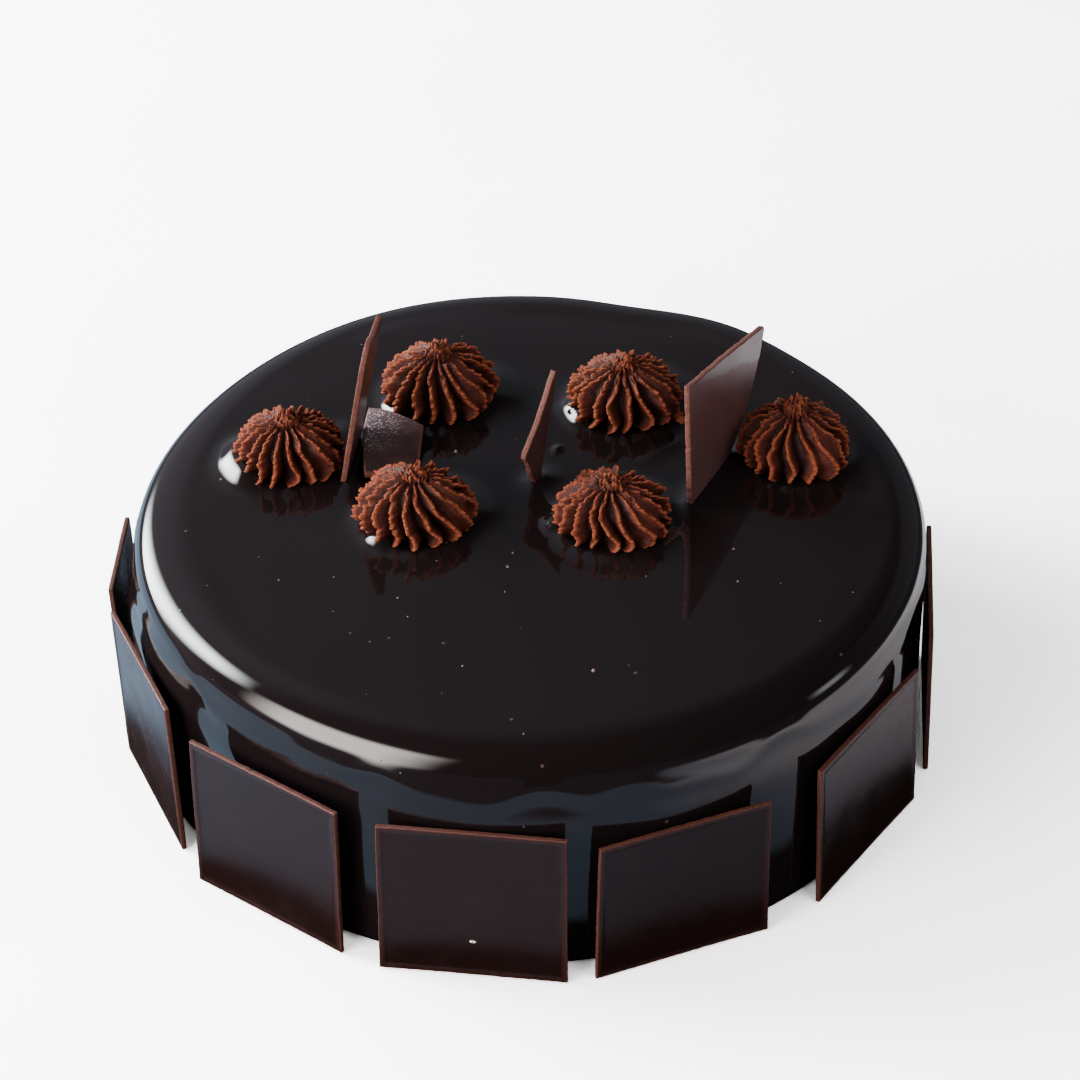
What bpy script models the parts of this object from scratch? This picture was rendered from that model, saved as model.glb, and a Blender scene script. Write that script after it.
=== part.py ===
"""Mirror-glazed chocolate cake with piped rosettes, thin chocolate tiles and broken shards.

Units are metres, +Z is up. The origin is the centre of the cake's flat base, and the
cake is seen from the front along +Y. An azimuth of 0 points to the front (-Y) and grows
towards +X.
"""
import math
import random

import bmesh
import bpy
from mathutils import Matrix, Vector

MM = 0.001

# The glazed cake
CAKE_HEIGHT = 70 * MM
RIM_RADIUS = 109.0 * MM
SIDE_RADIUS = 108.7 * MM
SHOULDER_WIDTH = 10.5 * MM
SHOULDER_DROP = 9.0 * MM
FOOT_ROUNDING = 1.6 * MM
CAKE_SEGMENTS = 96
SIDE_HEIGHTS = (15 * MM, 30 * MM, 41 * MM, 46 * MM, 51 * MM, 56 * MM)
SHOULDER_LEVELS = 6
SIDE_WAVE = 0.25 * MM

# The side blends into the rim between these heights
BLEND_FROM = 44 * MM
BLEND_TO = 61 * MM

# Where the glaze set thicker or thinner: azimuth, spread and rise, at the rim and down
# the side. In front it ran down and left the rim narrow and the side wide.
RIM_SWELLS = [
    (-105, 30, 2.1), (-157, 28, 3.7), (147, 10, 1.8), (164, 8, -1.0), (0, 52, -2.0),
]
SIDE_SWELLS = [(-95, 26, 5.2), (-150, 32, 3.4), (0, 40, 1.0)]

# What rests on a neighbour keeps this gap to it
GAP = 0.35 * MM

# Chocolate tiles, and shards broken from a thinner sheet
TILE_THICKNESS = 1.5 * MM
SHARD_THICKNESS = 1.6 * MM
RIM_WIDTH = 1.7 * MM
RIM_HEIGHT = 0.3 * MM
SLOT_DEPTH = 6 * MM

# The tiles round the side: azimuth, distance from the cake's axis to the foot of the
# outer face, lean towards the cake, twist about the vertical, width, height and how far
# the top left corner is set in
SIDE_TILES = [
    (-95.0, 116.8, -1.6, -1.6, 34.0, 48.0, 0.3),
    (-69.3, 114.2, -1.3, -2.1, 46.8, 50.2, 0.2),
    (-39.2, 114.8, 0.9, -2.0, 49.8, 48.6, 0.3),
    (-8.9, 114.6, 3.0, -0.5, 50.1, 47.5, 0.4),
    (19.5, 113.1, 0.2, -1.6, 49.5, 44.6, 1.5),
    (53.3, 112.2, 1.4, -1.3, 50.8, 45.7, 0.2),
    (85.4, 112.1, 1.0, 0.3, 50.3, 47.8, 0.2),
    (115.3, 113.0, 2.2, 1.4, 49.8, 48.0, 0.0),
    (145.3, 113.8, 2.6, -1.2, 50.2, 47.4, 0.5),
    (175.2, 115.4, 1.8, -2.0, 49.6, 48.8, 0.2),
    (205.2, 116.8, 1.4, -1.6, 50.0, 48.2, 0.0),
    (235.1, 116.6, 1.2, 0.6, 50.3, 47.6, 0.6),
]

# Rosettes: centre x and y, largest radius, height, number of ridges, twist of the
# ridges from foot to peak, and the azimuth where the piped end lies flat
ROSETTES = [
    (-68.1, 22.4, 16.0, 15.8, 19, 16, 60),
    (-26.1, 51.9, 16.8, 18.6, 18, 24, 52),
    (-32.0, -6.7, 16.6, 16.4, 17, 34, 66),
    (26.7, 46.1, 16.9, 16.3, 18, 12, 62),
    (21.6, -9.7, 16.3, 15.3, 18, 30, 48),
    (73.7, 19.2, 15.9, 20.0, 17, 26, 40),
]
COLUMNS_PER_RIDGE = (0.0, 0.2, 0.5, 0.8)
UNDERSIDE_LEVELS = 2
DOME_LEVELS = 6
FLANGE_SHARE = 0.24
RIDGE_DEPTH = 2.9 * MM

# Standing shards: where the near end meets the glaze, heading of the foot, lean to its
# right, and the outline as distance along the foot and height above the glaze
SHARDS = {
    "top_shard_left": (
        (-51.9, 10.4), 80.7, 10.1,
        [(0.4, -6), (0, 0), (0.8, 20), (1.8, 38), (3.4, 42.4), (6.4, 44.6), (12, 43.2),
         (14, 41.6), (26.2, 40.5), (25.2, 33), (23.5, 20), (21, 0), (20.5, -6)],
    ),
    "top_shard_middle": (
        (1.9, 9.9), 60.6, 4.6,
        [(-0.3, -4), (-1.3, 0), (-5.0, 6.2), (-5.8, 8.6), (-9.2, 14.2), (-8.8, 15.4),
         (-2.2, 22.6), (5.5, 35.2), (6.5, 34.6), (4.2, 20), (1.1, 0), (0.5, -4)],
    ),
    "top_shard_right": (
        (44.0, -3.0), 63.1, -1.5,
        [(0.6, -6), (0, 0), (-0.3, 20), (-0.5, 40.2), (24, 35.4), (49.8, 29.6),
         (50.6, 28.6), (47.4, 22.0), (42.0, 14.2), (35, 7.2), (24.6, 0), (17, -6)],
    ),
}

# The bent piece lies between the left shard and two rosettes: its four corners seen
# from above, from the back left round by the right, how far its left edge stands out,
# and the line that it bends along
BENT_CORNERS = [(-46.2, 43.6), (-30.4, 32.8), (-31.7, 14.6), (-46.4, 9.8)]
BENT_LEFT_BULGE = 1.1 * MM
BENT_LINE_POINT = (-48.0, 25.0)
BENT_LINE_HEADING = 54
BENT_RISE = 3.0 * MM
BENT_CELLS = 8

GLAZE = ("glaze", (0.012, 0.008, 0.008, 1), 0.06)
TEMPERED = ("tempered_chocolate", (0.045, 0.018, 0.014, 1), 0.35)
GANACHE = ("piped_ganache", (0.13, 0.032, 0.013, 1), 0.75)


def clear_scene():
    for old in list(bpy.data.objects):
        bpy.data.objects.remove(old)


def material(name, colour, roughness):
    made = bpy.data.materials.new(name)
    made.use_nodes = True
    shader = made.node_tree.nodes["Principled BSDF"]
    shader.inputs["Base Color"].default_value = colour
    shader.inputs["Roughness"].default_value = roughness
    shader.inputs["Metallic"].default_value = 0.0
    return made


def add_object(name, bm, finish):
    """One object from a bmesh, with its faces pointing out and its own material."""
    bmesh.ops.recalc_face_normals(bm, faces=bm.faces)
    mesh = bpy.data.meshes.new(name)
    bm.to_mesh(mesh)
    bm.free()
    slot, colour, roughness = finish
    mesh.materials.append(material(f"{slot}_{name}", colour, roughness))
    made = bpy.data.objects.new(name, mesh)
    bpy.context.scene.collection.objects.link(made)
    return made


def outward(azimuth):
    """Unit vector that points away from the cake's axis."""
    return Vector((math.sin(azimuth), -math.cos(azimuth), 0))


def loft(rings):
    """A closed bmesh through rings of equal length, each end closed by a fan."""
    bm = bmesh.new()
    loops = [[bm.verts.new(point) for point in ring] for ring in rings]
    count = len(rings[0])
    for lower, upper in zip(loops, loops[1:]):
        for i in range(count):
            j = (i + 1) % count
            bm.faces.new((lower[i], lower[j], upper[j], upper[i]))
    for loop in (loops[0], loops[-1]):
        middle = sum((v.co for v in loop), Vector()) / count
        centre = bm.verts.new(middle)
        for i in range(count):
            bm.faces.new((loop[i], loop[(i + 1) % count], centre))
    return bm


def cake_profile():
    """Heights and how far each is in from the widest there: foot, side and shoulder."""
    levels = [(0.0, FOOT_ROUNDING), (FOOT_ROUNDING, 0.3 * MM)]
    levels += [(height, 0.0) for height in SIDE_HEIGHTS]
    shoulder_foot = CAKE_HEIGHT - SHOULDER_DROP
    for k in range(SHOULDER_LEVELS + 1):
        turn = math.radians(90) * k / SHOULDER_LEVELS
        inset = SHOULDER_WIDTH * (1 - math.cos(turn))
        levels.append((shoulder_foot + SHOULDER_DROP * math.sin(turn), inset))
    return levels


def swelling(azimuth, swells):
    """How far a few soft swells stand out at an azimuth."""
    total = 0.0
    for centre, spread, rise in swells:
        away = math.remainder(math.degrees(azimuth) - centre, 360)
        total += rise * MM * math.exp(-((away / spread) ** 2))
    return total


def side_wave(azimuth, height):
    """How far the poured glaze stands in or out; none at the foot and on top."""
    share = height / CAKE_HEIGHT
    runs = math.sin(3 * azimuth + 0.7) + 0.7 * math.sin(7 * azimuth + 2.1 + 3 * share)
    return SIDE_WAVE * runs * math.sin(math.pi * share)


def cake_radius(azimuth, height):
    """The widest the cake is at a height, before the foot and shoulder are rounded."""
    share = min(1.0, max(0.0, (height - BLEND_FROM) / (BLEND_TO - BLEND_FROM)))
    share = share * share * (3 - 2 * share)
    side = SIDE_RADIUS + swelling(azimuth, SIDE_SWELLS)
    rim = RIM_RADIUS + swelling(azimuth, RIM_SWELLS)
    return side + (rim - side) * share + side_wave(azimuth, height)


def cake_ring(height, inset):
    ring = []
    for i in range(CAKE_SEGMENTS):
        azimuth = 2 * math.pi * i / CAKE_SEGMENTS
        reach = cake_radius(azimuth, height) - inset
        ring.append(outward(azimuth) * reach + Vector((0, 0, height)))
    return ring


def make_cake():
    """The whole glazed cake, one uncut solid."""
    return add_object("glazed_cake", loft([cake_ring(*p) for p in cake_profile()]), GLAZE)


def tile_outline(width, height, set_in, rng):
    """A hand-cut rectangle: a top corner and the edges are a little out of true."""
    half = width / 2
    corners = [(-half, 0), (half, 0), (half, height), (set_in - half, height)]
    outline = []
    for k, corner in enumerate(corners):
        following = corners[(k + 1) % 4]
        outline.append(Vector(corner))
        for share in (0.33, 0.67):
            point = Vector(corner).lerp(Vector(following), share)
            outline.append(point + Vector((rng.uniform(-1, 1), rng.uniform(0, 1))) * 0.15 * MM)
    return outline


def sheet_piece(outline, thickness, placing, rim=0.0):
    """A flat piece of the sheet. Its outline lies in local X and Z, its face at Y = 0
    and its back one thickness behind. With a rim the face inside the rim is lower."""
    bm = bmesh.new()
    face = bm.faces.new([bm.verts.new((p.x, 0, p.y)) for p in outline])
    extruded = bmesh.ops.extrude_face_region(bm, geom=[face])
    back = [v for v in extruded["geom"] if isinstance(v, bmesh.types.BMVert)]
    bmesh.ops.translate(bm, verts=back, vec=(0, thickness, 0))
    if rim:
        bmesh.ops.recalc_face_normals(bm, faces=bm.faces)
        front = [f for f in bm.faces if f.normal.y < -0.9]
        bmesh.ops.inset_region(bm, faces=front, thickness=rim, depth=0, use_even_offset=True)
        bmesh.ops.inset_region(bm, faces=front, thickness=RIM_HEIGHT, depth=-RIM_HEIGHT)
    bmesh.ops.transform(bm, matrix=placing, verts=bm.verts)
    return bm


def tile_placing(azimuth, distance, lean, twist):
    """Local X runs along the tile, local Y into the cake, local Z up the tile."""
    turn = Matrix.Rotation(azimuth - twist, 4, "Z")
    tip = Matrix.Rotation(-lean, 4, "X")
    return Matrix.Translation(outward(azimuth) * distance) @ turn @ tip


def make_side_tile(number, azimuth, distance, lean, twist, width, height, set_in):
    """A thin chocolate tile that stands at the cake's foot and leans on its side."""
    rng = random.Random(100 + number)
    placing = tile_placing(
        math.radians(azimuth), distance * MM, math.radians(lean), math.radians(twist)
    )
    outline = tile_outline(width * MM, height * MM, set_in * MM, rng)
    bm = sheet_piece(outline, TILE_THICKNESS, placing, RIM_WIDTH)
    lowest = min(v.co.z for v in bm.verts)
    bmesh.ops.translate(bm, verts=bm.verts, vec=(0, 0, -lowest))
    return add_object(f"side_tile_{number:02d}", bm, TEMPERED)


def shard_placing(base, heading, lean):
    """Local X runs along the foot, local Z up the shard, local Y to its back."""
    turn = Matrix.Rotation(math.radians(heading), 4, "Z")
    tip = Matrix.Rotation(math.radians(lean), 4, "X")
    place = Matrix.Translation((base[0] * MM, base[1] * MM, CAKE_HEIGHT))
    return place @ turn @ tip


def make_shard(name, base, heading, lean, outline):
    """A broken piece pushed upright into the glaze."""
    points = [Vector((s * MM, h * MM)) for s, h in outline]
    placing = shard_placing(base, heading, lean)
    return add_object(name, sheet_piece(points, SHARD_THICKNESS, placing), TEMPERED)


def make_slot_cutter(name, base, heading, lean, outline):
    """The slot that a shard stands in, wider than the shard on every side."""
    sunk = [(s * MM, h * MM) for s, h in outline if h <= 0]
    low = min(h for _, h in sunk) - GAP
    left = min(s for s, _ in sunk) - 2 * GAP
    right = max(s for s, _ in sunk) + 2 * GAP
    bm = bmesh.new()
    bmesh.ops.create_cube(bm, size=1)
    size = Vector((right - left, SHARD_THICKNESS + 2 * GAP, SLOT_DEPTH - low))
    centre = Vector(((left + right) / 2, SHARD_THICKNESS / 2, (SLOT_DEPTH + low) / 2))
    shape = Matrix.Translation(centre) @ Matrix.Diagonal((*size, 1))
    bmesh.ops.transform(bm, matrix=shard_placing(base, heading, lean) @ shape, verts=bm.verts)
    cutter = add_object(f"cutter_{name}", bm, TEMPERED)
    cutter.hide_render = True
    cutter.display_type = "WIRE"
    return cutter


def cut(target, cutter):
    modifier = target.modifiers.new(cutter.name, "BOOLEAN")
    modifier.operation = "DIFFERENCE"
    modifier.solver = "EXACT"
    modifier.object = cutter


def bent_height(x, y):
    """Height of the bent piece's underside above the glaze: it arches along its line."""
    heading = math.radians(BENT_LINE_HEADING)
    across = Vector((-math.sin(heading), math.cos(heading)))
    offset = (Vector((x, y)) - Vector(BENT_LINE_POINT) * MM).dot(across)
    reach = 19.6 * MM if offset < 0 else 12 * MM
    return GAP + max(0.0, BENT_RISE * (1 - (offset / reach) ** 2))


def make_bent_piece():
    """A broken tile that bent as it set and lies arched on the glaze."""
    bm = bmesh.new()
    back_left, back_right, front_right, front_left = (Vector(c) * MM for c in BENT_CORNERS)
    layers = []
    for thickness in (0.0, SHARD_THICKNESS):
        layer = []
        for i in range(BENT_CELLS + 1):
            share = i / BENT_CELLS
            left = back_left.lerp(front_left, share)
            left.x -= BENT_LEFT_BULGE * 4 * share * (1 - share)
            right = back_right.lerp(front_right, share)
            row = []
            for j in range(BENT_CELLS + 1):
                point = left.lerp(right, j / BENT_CELLS)
                height = CAKE_HEIGHT + bent_height(point.x, point.y) + thickness
                row.append(bm.verts.new((point.x, point.y, height)))
            layer.append(row)
        layers.append(layer)
    under, over = layers
    for layer in layers:
        for i in range(BENT_CELLS):
            for j in range(BENT_CELLS):
                corners = (layer[i][j], layer[i][j + 1], layer[i + 1][j + 1], layer[i + 1][j])
                bm.faces.new(corners)
    last = BENT_CELLS
    for k in range(BENT_CELLS):
        for i, j, di, dj in ((0, k, 0, 1), (last, k, 0, 1), (k, 0, 1, 0), (k, last, 1, 0)):
            here, there = under[i][j], under[i + di][j + dj]
            bm.faces.new((here, there, over[i + di][j + dj], over[i][j]))
    bmesh.ops.triangulate(bm, faces=bm.faces)
    return add_object("top_bent_piece", bm, TEMPERED)


def rosette_profile(radius, height):
    """Radius, height and ridge strength from the foot, out to the flange and up."""
    flange = FLANGE_SHARE * height
    levels = []
    for k in range(UNDERSIDE_LEVELS):
        turn = math.radians(-48) * (1 - k / UNDERSIDE_LEVELS)
        level = flange * (1 + math.sin(turn) / math.sin(math.radians(48)))
        levels.append((radius * math.cos(turn), level, 0.75 + 0.125 * k))
    for k in range(DOME_LEVELS):
        turn = math.radians(90) * k / (DOME_LEVELS + 0.35)
        peak = 0.08 * height * (k / DOME_LEVELS) ** 3
        level = flange + (height - flange) * 0.92 * math.sin(turn) + peak
        levels.append((radius * math.cos(turn), level, math.cos(turn) ** 0.7))
    return levels


def make_rosette(number, x, y, radius, height, ridges, twist, tail):
    """A star-piped rosette: thin ridges that swirl from foot to peak, and one side
    where the end of the piping lies flat."""
    rng = random.Random(number)
    radius, height = radius * MM, height * MM
    twist, tail = math.radians(twist), math.radians(tail)
    reach = [1 + rng.uniform(-0.05, 0.04) for _ in range(ridges)]
    foot = Vector((x * MM, y * MM, CAKE_HEIGHT + GAP))
    levels = rosette_profile(radius, height)
    rings = []
    for level_radius, level_height, strength in levels:
        ring = []
        for ridge in range(ridges):
            for share in COLUMNS_PER_RIDGE:
                swirl = twist * (1 - level_height / height)
                azimuth = 2 * math.pi * (ridge + share) / ridges + swirl
                away = math.remainder(azimuth - tail, 2 * math.pi)
                flat = math.exp(-((away / 0.42) ** 2))
                crest = (1 - abs(2 * (share if share <= 0.5 else 1 - share))) ** 1.4
                following = reach[(ridge + 1) % ridges]
                own = reach[ridge] * (1 - share) + following * share
                hollow = RIDGE_DEPTH * strength * (1 - crest) * (1 - 0.85 * flat)
                out = level_radius * own - hollow + 0.6 * MM * flat * strength
                place = outward(azimuth) * max(out, 0.25 * level_radius)
                ring.append(foot + place + Vector((0, 0, level_height)))
        rings.append(ring)
    return add_object(f"rosette_{number:02d}", loft(rings), GANACHE)


def main():
    clear_scene()
    cake = make_cake()
    for number, row in enumerate(SIDE_TILES, 1):
        make_side_tile(number, *row)
    for number, row in enumerate(ROSETTES, 1):
        make_rosette(number, *row)
    for name, row in SHARDS.items():
        make_shard(name, *row)
        cut(cake, make_slot_cutter(name, *row))
    make_bent_piece()


main()
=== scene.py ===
# %% [markdown]
# # A mirror-glazed chocolate cake
#
# The real cake wears a black-brown mirror glaze, with thin tiles of tempered chocolate
# round its side and piped rosettes and broken shards on top. It could be sculpted as one
# mesh, but then nothing could be taken off it. Here each piece is its own mesh, built in
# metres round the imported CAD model, in the place of its solid.

# %% Load the frame and keep its box
import math
import random

import bmesh
import bpy
import numpy as np
from mathutils import Matrix, Vector, noise


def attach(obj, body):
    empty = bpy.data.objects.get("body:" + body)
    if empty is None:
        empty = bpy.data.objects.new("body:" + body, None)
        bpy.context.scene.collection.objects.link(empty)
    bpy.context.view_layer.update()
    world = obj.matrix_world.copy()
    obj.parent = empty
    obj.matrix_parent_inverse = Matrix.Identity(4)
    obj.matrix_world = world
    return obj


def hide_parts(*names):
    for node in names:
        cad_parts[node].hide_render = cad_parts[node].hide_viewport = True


MM = 0.001
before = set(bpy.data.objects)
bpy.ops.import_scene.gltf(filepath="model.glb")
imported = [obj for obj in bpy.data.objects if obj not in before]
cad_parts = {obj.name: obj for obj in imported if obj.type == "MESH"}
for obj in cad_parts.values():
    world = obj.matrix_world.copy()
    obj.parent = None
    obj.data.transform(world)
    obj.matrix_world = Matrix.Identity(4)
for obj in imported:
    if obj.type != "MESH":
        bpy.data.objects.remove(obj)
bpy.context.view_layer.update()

# %% [markdown]
# ## The camera
#
# The photograph looks down on the cake from the front with a long lens. The view was
# worked out from the round rim and the square tiles, so the camera has a measured place,
# pitch and roll rather than one set by eye.

# %% Set the camera
CAMERA_PLACE = Vector((1.92, -795.46, 662.32)) * MM
CAMERA_PITCH_DOWN = math.radians(37.25)
CAMERA_ROLL = math.radians(-1.052)
LENS_MM = 119.65
SENSOR_MM = 36
NEAREST_SEEN = 50 * MM

camera_data = bpy.data.cameras.new("camera")
camera_data.lens = LENS_MM
camera_data.sensor_width = SENSOR_MM
camera_data.clip_start = NEAREST_SEEN
camera = bpy.data.objects.new("camera", camera_data)
camera.matrix_world = (
    Matrix.Translation(CAMERA_PLACE)
    @ Matrix.Rotation(math.radians(90) - CAMERA_PITCH_DOWN, 4, "X")
    @ Matrix.Rotation(CAMERA_ROLL, 4, "Z")
)
bpy.context.scene.collection.objects.link(camera)
bpy.context.scene.camera = camera
print("camera at", tuple(round(v, 3) for v in CAMERA_PLACE))

# %% [markdown]
# ## Helpers for meshes
#
# Every piece here is a grid or a loft whose points come from a formula. Blender's
# `from_pydata` takes such points and faces at once. A piece can also carry a value at
# each point, such as how near a cut edge is, which its material then reads.


# %% Make a piece from points and faces
def outward(azimuth):
    """Unit vector away from the cake's axis: 0 is the front, and it grows towards +X."""
    return Vector((math.sin(azimuth), -math.cos(azimuth), 0))


def make_piece(name, points, faces, material, values=None, sharp=None):
    """One smooth-shaded piece that rides on the cake's only body."""
    mesh = bpy.data.meshes.new(name)
    mesh.from_pydata([tuple(p) for p in points], [], [tuple(f) for f in faces])
    mesh.validate()
    for value_name, numbers in (values or {}).items():
        layer = mesh.attributes.new(value_name, "FLOAT", "POINT")
        layer.data.foreach_set("value", np.asarray(numbers, dtype=np.float32))
    mesh.shade_smooth()
    if sharp is not None:
        mesh.set_sharp_from_angle(angle=math.radians(sharp))
    mesh.materials.append(material)
    piece = bpy.data.objects.new(name, mesh)
    bpy.context.scene.collection.objects.link(piece)
    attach(piece, "root")
    triangles = sum(len(p.vertices) - 2 for p in mesh.polygons)
    print(f"{name}: {len(mesh.vertices)} points, {triangles} triangles")
    return piece


def smooth_step(low, high, value):
    """0 below low, 1 above high and a soft rise between, for one value or an array."""
    share = np.clip((np.asarray(value, dtype=float) - low) / (high - low), 0.0, 1.0)
    return share * share * (3 - 2 * share)


def loft_faces(rings, columns):
    """Quads between closed rings of points, and two fans. The point under the first ring
    and the one over the last follow the rings in the piece's list of points."""
    faces = []
    for ring in range(rings - 1):
        low, high = ring * columns, (ring + 1) * columns
        for i in range(columns):
            j = (i + 1) % columns
            faces.append((low + i, low + j, high + j, high + i))
    last, under, over = (rings - 1) * columns, rings * columns, rings * columns + 1
    for i in range(columns):
        j = (i + 1) % columns
        faces.append((j, i, under))
        faces.append((last + i, last + j, over))
    return faces


# %% [markdown]
# ## Helpers for materials
#
# Grain and specks turn up in several finishes. Each is a node group that is built once
# and then placed in every material that needs it, with its own numbers. An image could
# hold the same marks, but it would need a layout of its own on every piece. The groups
# work in millimetres of the object's own space, so their marks keep their size.


# %% Small tools for node trees
def feed(tree, node, inputs):
    """Fill in a node's inputs: a socket is linked, and anything else is a fixed value."""
    for socket, value in inputs.items():
        if isinstance(value, bpy.types.NodeSocket):
            tree.links.new(value, node.inputs[socket])
        else:
            node.inputs[socket].default_value = value


def add_node(tree, kind, inputs=None, **settings):
    """A node with its settings and inputs filled in."""
    node = tree.nodes.new(kind)
    for setting, value in settings.items():
        setattr(node, setting, value)
    feed(tree, node, inputs or {})
    return node


def calculate(tree, operation, first, second=0.0):
    """One sum of two numbers or sockets."""
    inputs = {0: first, 1: second}
    return add_node(tree, "ShaderNodeMath", inputs, operation=operation).outputs[0]


def millimetres(tree):
    """The object's own coordinates in millimetres."""
    place = add_node(tree, "ShaderNodeTexCoord").outputs["Object"]
    inputs = {0: place, "Scale": 1 / MM}
    return add_node(tree, "ShaderNodeVectorMath", inputs, operation="SCALE").outputs[0]


def new_group(name, inputs, output):
    """An empty node group with sockets for numbers, and its two end nodes."""
    group = bpy.data.node_groups.new(name, "ShaderNodeTree")
    number = "NodeSocketFloat"
    for socket, default in inputs.items():
        made = group.interface.new_socket(socket, in_out="INPUT", socket_type=number)
        made.default_value = default
    group.interface.new_socket(output, in_out="OUTPUT", socket_type=number)
    return group, group.nodes.new("NodeGroupInput"), group.nodes.new("NodeGroupOutput")


# %% Group: grain, a fine roughness of the surface
def make_grain_group():
    group, start, end = new_group("grain", {"Size mm": 1.0, "Detail": 3.0}, "Value")
    texture = add_node(group, "ShaderNodeTexNoise", {
        "Vector": millimetres(group), "Detail": start.outputs["Detail"], "Roughness": 0.6,
        "Scale": calculate(group, "DIVIDE", 1.0, start.outputs["Size mm"]),
    })
    feed(group, end, {"Value": texture.outputs["Fac"]})
    return group


GRAIN = make_grain_group()


# %% Group: specks, sparse round dots such as dust or bubbles
def make_specks_group():
    group, start, end = new_group(
        "specks", {"Spacing mm": 6.0, "Radius": 0.08, "Kept share": 0.3}, "Mask"
    )
    cells = add_node(group, "ShaderNodeTexVoronoi", {
        "Vector": millimetres(group), "Randomness": 1.0,
        "Scale": calculate(group, "DIVIDE", 1.0, start.outputs["Spacing mm"]),
    })
    inside = calculate(group, "LESS_THAN", cells.outputs["Distance"], start.outputs["Radius"])
    pick = add_node(group, "ShaderNodeSeparateColor", {0: cells.outputs["Color"]})
    kept = calculate(group, "LESS_THAN", pick.outputs[0], start.outputs["Kept share"])
    feed(group, end, {"Mask": calculate(group, "MULTIPLY", inside, kept)})
    return group


SPECKS = make_specks_group()


# %% Place a group, mix colours and finish a material
def place_group(tree, group, **values):
    """A group node. Underscores in the names of its values stand for spaces."""
    inputs = {name.replace("_", " "): value for name, value in values.items()}
    return add_node(tree, "ShaderNodeGroup", inputs, node_tree=group).outputs[0]


def mix_colours(tree, share, first, second):
    """The first colour where the share is 0 and the second where it is 1."""
    inputs = {0: share, 6: first, 7: second}
    return add_node(tree, "ShaderNodeMix", inputs, data_type="RGBA").outputs[2]


def map_range(tree, value, low, high, to_low=0.0, to_high=1.0):
    """A soft step from one number to another while a value goes from low to high."""
    node = add_node(tree, "ShaderNodeMapRange", {
        "Value": value, "From Min": low, "From Max": high, "To Min": to_low,
        "To Max": to_high,
    }, interpolation_type="SMOOTHSTEP")
    return node.outputs["Result"]


def point_value(tree, name):
    """A value that the mesh carries at its points."""
    return add_node(tree, "ShaderNodeAttribute", attribute_name=name).outputs["Fac"]


def new_material(name):
    """A material with a Principled BSDF; returns it, its tree and the shader."""
    material = bpy.data.materials.new(name)
    material.use_nodes = True
    tree = material.node_tree
    print("material", name)
    return material, tree, tree.nodes["Principled BSDF"]


def bump(tree, height, depth_mm, strength):
    """Fine relief that is too small for the mesh, as a material's normal."""
    inputs = {"Height": height, "Distance": depth_mm * MM, "Strength": strength}
    return add_node(tree, "ShaderNodeBump", inputs).outputs["Normal"]


# %% [markdown]
# ## The mirror glaze
#
# The glaze is nearly black, and almost all that the eye gets from it is reflection. So it
# needs a dark base, a very low roughness and a smooth mesh more than it needs texture. A
# few pale and brown specks, tiny bubbles and crumbs caught in the glaze, keep it from
# looking like plastic.


# %% Material: glaze
GLAZE_DARK = (0.0048, 0.0031, 0.0033, 1)
BROWN_CRUMB = (0.040, 0.022, 0.018, 1)
PALE_BUBBLE = (0.085, 0.075, 0.078, 1)
SPECK_DULLNESS = 0.3


def make_glaze_material():
    """Deep, mirror-like and very slightly hazy in slow patches."""
    material, tree, shader = new_material("glaze")
    pale_dots = place_group(tree, SPECKS, Spacing_mm=5.0, Radius=0.045, Kept_share=0.30)
    brown_dots = place_group(tree, SPECKS, Spacing_mm=8.0, Radius=0.06, Kept_share=0.32)
    colour = mix_colours(tree, brown_dots, GLAZE_DARK, BROWN_CRUMB)
    colour = mix_colours(tree, pale_dots, colour, PALE_BUBBLE)
    haze = place_group(tree, GRAIN, Size_mm=24.0, Detail=2.0)
    dots = calculate(tree, "MAXIMUM", pale_dots, brown_dots)
    duller = calculate(tree, "MULTIPLY", dots, SPECK_DULLNESS)
    rough = calculate(tree, "ADD", map_range(tree, haze, 0.35, 0.7, 0.035, 0.075), duller)
    feed(tree, shader, {"Base Color": colour, "Roughness": rough, "IOR": 1.47})
    return material


glaze_material = make_glaze_material()

# %% [markdown]
# ## The glazed body
#
# The poured glaze makes a drum with a soft shoulder, a little uneven round its edge. A
# subdivided cylinder could give the form, but the highlights would show its facets. The
# body is a fine polar grid instead: rows go up the side, over the shoulder and in across
# the top, so the rows are dense where the curve is tight.

# %% The measures of the drum, the same as the CAD's
CAKE_HEIGHT = 70 * MM
RIM_RADIUS = 109.0 * MM
SIDE_RADIUS = 108.7 * MM
SHOULDER_WIDTH = 10.5 * MM
SHOULDER_DROP = 9.0 * MM
FOOT_ROUNDING = 1.6 * MM
SIDE_WAVE = 0.25 * MM
# The outline changes from the side's to the rim's between these heights
BLEND_FROM = 44 * MM
BLEND_TO = 61 * MM
# Soft swells round the drum: azimuth and spread in degrees, and rise in millimetres
RIM_SWELLS = [
    (-105, 30, 2.1), (-157, 28, 3.7), (147, 10, 1.8), (164, 8, -1.0), (0, 52, -2.0),
]
SIDE_SWELLS = [(-95, 26, 5.2), (-150, 32, 3.4), (0, 40, 1.0)]

# Where the glaze ran off slowly it left the shoulder broader and deeper than the CAD's
# plain one: azimuth, spread, extra width, extra drop and how much squarer the curve is
BROAD_SHOULDERS = [
    (-92, 36, 6.0, 2.0, 0.05), (-22, 28, 2.6, 5.0, 0), (35, 34, 1.4, 2.6, 0),
]
# A true quarter circle has the exponent 1; these make the curve a little fuller
INSET_CURVE = 0.9
DROP_CURVE = 0.94


# %% How far the drum reaches at each azimuth and height
def degrees_apart(azimuth, centre):
    """Signed difference in degrees between azimuths in radians and a centre in degrees."""
    return (np.degrees(azimuth) - centre + 180) % 360 - 180


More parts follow.
